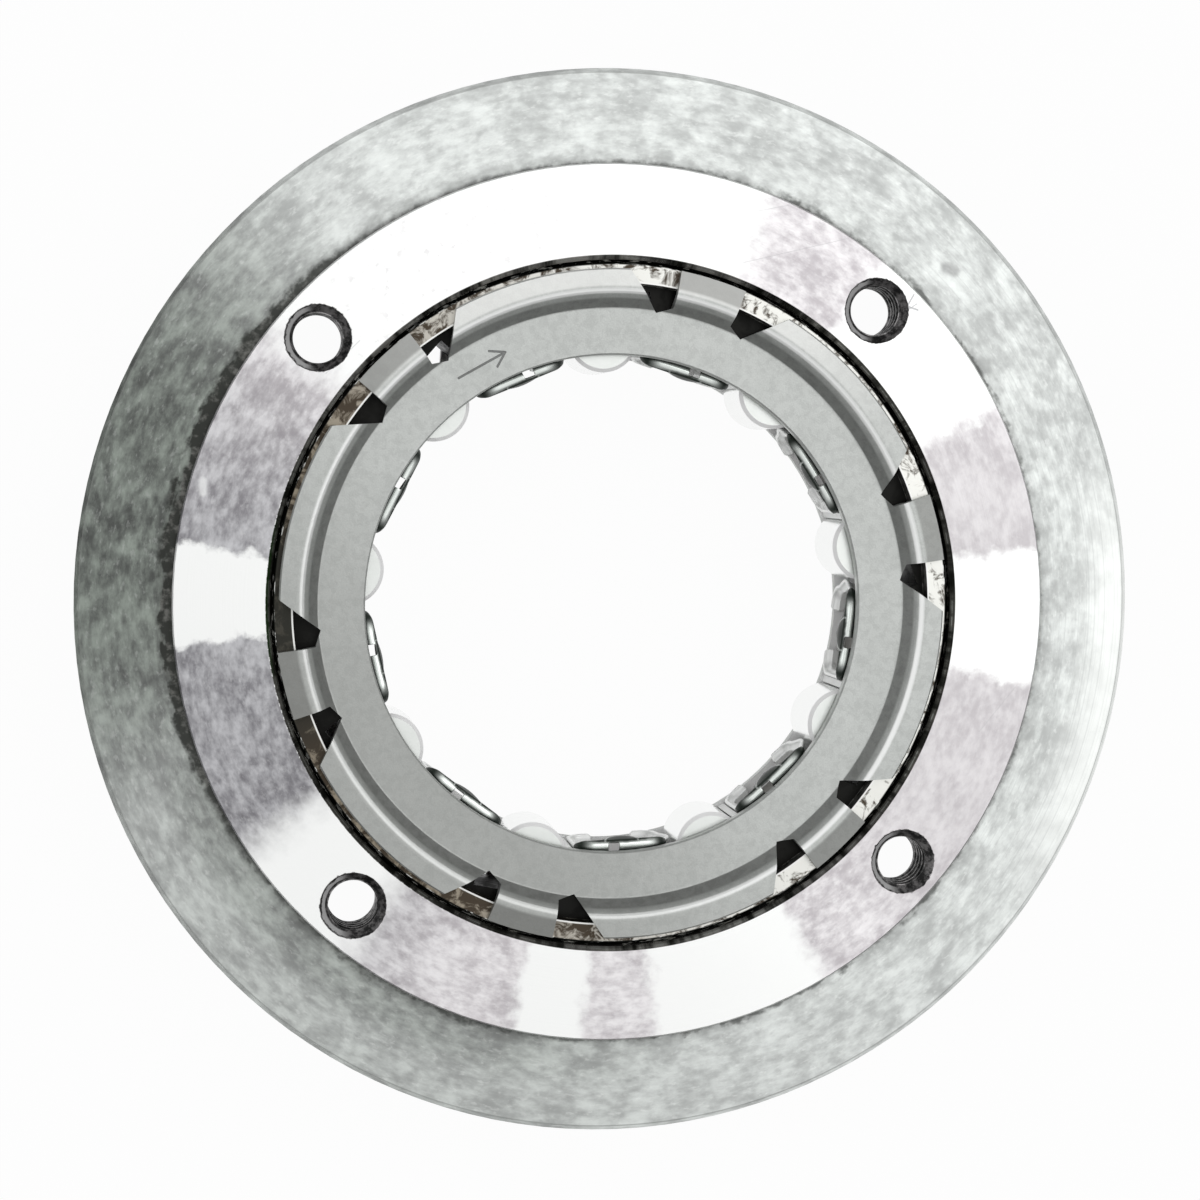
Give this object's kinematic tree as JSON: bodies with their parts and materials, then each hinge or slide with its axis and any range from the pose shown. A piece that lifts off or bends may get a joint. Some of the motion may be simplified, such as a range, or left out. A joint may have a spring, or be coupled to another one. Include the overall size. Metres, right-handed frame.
{
  "type": "one-way clutch",
  "caption": "Bolt-on flange with a roller one-way clutch: an inner race put through it turns freely one way and is locked the other.",
  "frame": {"origin": "on the clutch's axis, at the rear end of the hub, which is the lowest face", "axes": "+Z along the axis, out of the front face that carries the raised ground annulus; +X and +Y across, with the tapped holes at 48 degrees from +X and every 90 degrees on"},
  "size_m": [0.104, 0.104, 0.0152],
  "materials": {
    "flange_steel": "turned and ground, stained on the rim",
    "race_steel": "ground, with brown oil stains",
    "plate_steel": "matte blasted steel",
    "roller_steel": "fine ground and polished",
    "spring_steel": "dark, glossy with oil"
  },
  "bodies": {
    "housing": {"outer_flange": "flange_steel", "cam_ring": "race_steel", "front_side_plate": "plate_steel", "rear_side_plate": "plate_steel", "spring_1": "spring_steel", "spring_2": "spring_steel", "spring_3": "spring_steel", "spring_4": "spring_steel", "spring_5": "spring_steel", "spring_6": "spring_steel", "spring_7": "spring_steel", "spring_8": "spring_steel", "spring_9": "spring_steel"},
    "roller_1_body": {"roller_1": "roller_steel"},
    "roller_2_body": {"roller_2": "roller_steel"},
    "roller_3_body": {"roller_3": "roller_steel"},
    "roller_4_body": {"roller_4": "roller_steel"},
    "roller_5_body": {"roller_5": "roller_steel"},
    "roller_6_body": {"roller_6": "roller_steel"},
    "roller_7_body": {"roller_7": "roller_steel"},
    "roller_8_body": {"roller_8": "roller_steel"},
    "roller_9_body": {"roller_9": "roller_steel"}
  },
  "joints": [
    {"name": "roller_1_ramp", "type": "slide", "parent": "housing", "child": "roller_1_body", "axis": [0.3256, -0.9455, 0], "range_m": [0, 0.0015], "stiffness_N_per_m": 200, "springref_m": -0.002, "deforming": ["spring_1"]},
    {"name": "roller_2_ramp", "type": "slide", "parent": "housing", "child": "roller_2_body", "axis": [0.8572, -0.515, 0], "range_m": [0, 0.0015], "stiffness_N_per_m": 200, "springref_m": -0.002, "deforming": ["spring_2"]},
    {"name": "roller_3_ramp", "type": "slide", "parent": "housing", "child": "roller_3_body", "axis": [0.9877, 0.1564, 0], "range_m": [0, 0.0015], "stiffness_N_per_m": 200, "springref_m": -0.002, "deforming": ["spring_3"]},
    {"name": "roller_4_ramp", "type": "slide", "parent": "housing", "child": "roller_4_body", "axis": [0.6561, 0.7547, 0], "range_m": [0, 0.0015], "stiffness_N_per_m": 200, "springref_m": -0.002, "deforming": ["spring_4"]},
    {"name": "roller_5_ramp", "type": "slide", "parent": "housing", "child": "roller_5_body", "axis": [0.0175, 0.9998, 0], "range_m": [0, 0.0015], "stiffness_N_per_m": 200, "springref_m": -0.002, "deforming": ["spring_5"]},
    {"name": "roller_6_ramp", "type": "slide", "parent": "housing", "child": "roller_6_body", "axis": [-0.6293, 0.7771, 0], "range_m": [0, 0.0015], "stiffness_N_per_m": 200, "springref_m": -0.002, "deforming": ["spring_6"]},
    {"name": "roller_7_ramp", "type": "slide", "parent": "housing", "child": "roller_7_body", "axis": [-0.9816, 0.1908, 0], "range_m": [0, 0.0015], "stiffness_N_per_m": 200, "springref_m": -0.002, "deforming": ["spring_7"]},
    {"name": "roller_8_ramp", "type": "slide", "parent": "housing", "child": "roller_8_body", "axis": [-0.8746, -0.4848, 0], "range_m": [0, 0.0015], "stiffness_N_per_m": 200, "springref_m": -0.002, "deforming": ["spring_8"]},
    {"name": "roller_9_ramp", "type": "slide", "parent": "housing", "child": "roller_9_body", "axis": [-0.3584, -0.9336, 0], "range_m": [0, 0.0015], "stiffness_N_per_m": 200, "springref_m": -0.002, "deforming": ["spring_9"]}
  ]
}
